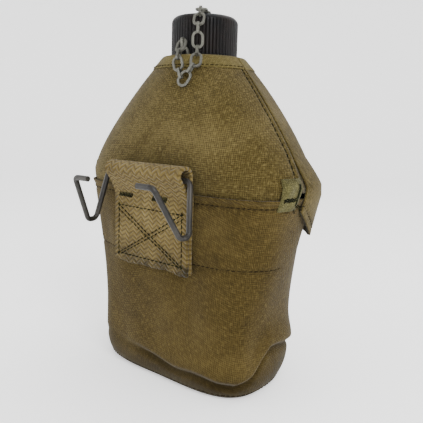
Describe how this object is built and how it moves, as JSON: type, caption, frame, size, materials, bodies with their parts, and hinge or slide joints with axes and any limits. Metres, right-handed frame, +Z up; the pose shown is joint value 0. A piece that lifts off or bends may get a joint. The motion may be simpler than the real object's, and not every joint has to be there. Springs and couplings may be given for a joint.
{
  "type": "canteen",
  "caption": "Flat metal water bottle in a padded canvas cover, with a ribbed screw cap on a safety chain, snap flaps and a wire double hook in a webbing tab.",
  "frame": {"origin": "middle of the cover's flat base, on the axis of the neck, where the canteen stands on a surface", "axes": "+Z up along the neck, -Y towards the belt side that carries the tab and hook, +Y towards the snap flaps, +X to the right as seen from the belt side"},
  "size_m": [0.154, 0.1252, 0.2131],
  "materials": {
    "canvas": "washed cotton duck, faded khaki",
    "webbing": "coarse cotton webbing",
    "binding": "cotton binding tape",
    "patch": "worn cotton tape",
    "felt": "wool felt",
    "bottle": "satin",
    "cap": "worn moulded resin",
    "gasket": "cork and rubber",
    "chain": "dull, tarnished",
    "hook": "blackened wire",
    "snap": "dark, oxidised"
  },
  "bodies": {
    "canteen": {"bottle_lower_shell": "bottle", "bottle_upper_shell": "bottle", "neck": "bottle", "neck_chain_ring": "chain", "cover_pocket": "canvas", "cover_back_panel": "canvas", "lining_pocket": "felt", "lining_back": "felt", "neck_binding": "binding", "corner_patch_right": "patch", "corner_patch_left": "patch", "hook_tab": "webbing", "snap_stud_right": "snap", "snap_stud_left": "snap", "stud_washer_right": "snap", "stud_washer_left": "snap", "drain_eyelet": "snap", "chain_link_7": "chain", "chain_link_8": "chain", "chain_link_9": "chain", "chain_end_ring": "chain"},
    "cap_swivel": {"cap_swivel_pin": "chain", "cap_pin_washer": "chain", "cap_swivel_ring": "chain", "chain_link_1": "chain", "chain_link_2": "chain", "chain_link_3": "chain"},
    "chain_hang": {"chain_link_4": "chain"},
    "cap": {"cap_shell": "cap", "cap_gasket": "gasket"},
    "chain_bend": {"chain_link_5": "chain", "chain_link_6": "chain"},
    "hook": {"belt_hook": "hook"},
    "flap_r": {"flap_right": "canvas", "lining_flap_right": "felt", "flap_binding_right": "binding", "snap_socket_right": "snap", "socket_button_right": "snap"},
    "flap_l": {"flap_left": "canvas", "lining_flap_left": "felt", "flap_binding_left": "binding", "snap_socket_left": "snap", "socket_button_left": "snap"}
  },
  "joints": [
    {"name": "cap_lift", "type": "slide", "parent": "canteen", "child": "cap_swivel", "axis": [0, 0, 1], "range_m": [0, 0.0048]},
    {"name": "cap_turn", "type": "hinge", "parent": "cap_swivel", "child": "cap", "pos_m": [0, 0, 0.19], "axis": [0, 0, 1], "range_deg": [0, 540]},
    {"name": "chain_hang_swing", "type": "hinge", "parent": "cap_swivel", "child": "chain_hang", "pos_m": [0.01335, -0.02136, 0.18847], "axis": [0.848, 0.5299, 0], "range_deg": [0, 7.1]},
    {"name": "chain_bend_swing", "type": "hinge", "parent": "canteen", "child": "chain_bend", "pos_m": [0.00529, -0.02822, 0.181], "axis": [0.106, -0.9396, 0.3255], "range_deg": [0, 22.4]},
    {"name": "hook_swing", "type": "hinge", "parent": "canteen", "child": "hook", "pos_m": [0, -0.04501, 0.1198], "axis": [-1, 0, 0], "range_deg": [0, 100]},
    {"name": "flap_right_fold", "type": "hinge", "parent": "canteen", "child": "flap_r", "pos_m": [0.0803, -0.0074, 0.118], "axis": [0.6129, -0.082, -0.7859], "range_deg": [0, 110]},
    {"name": "flap_left_fold", "type": "hinge", "parent": "canteen", "child": "flap_l", "pos_m": [-0.0803, -0.0074, 0.118], "axis": [0.6129, 0.082, 0.7859], "range_deg": [0, 110]}
  ],
  "couplings": [
    {"joint": "cap_lift", "follows": "cap_turn", "m_per_rad": 0.00050929},
    {"joint": "chain_hang_swing", "follows": "cap_turn", "ratio": 0.012993},
    {"joint": "chain_bend_swing", "follows": "cap_turn", "ratio": 0.041419}
  ]
}
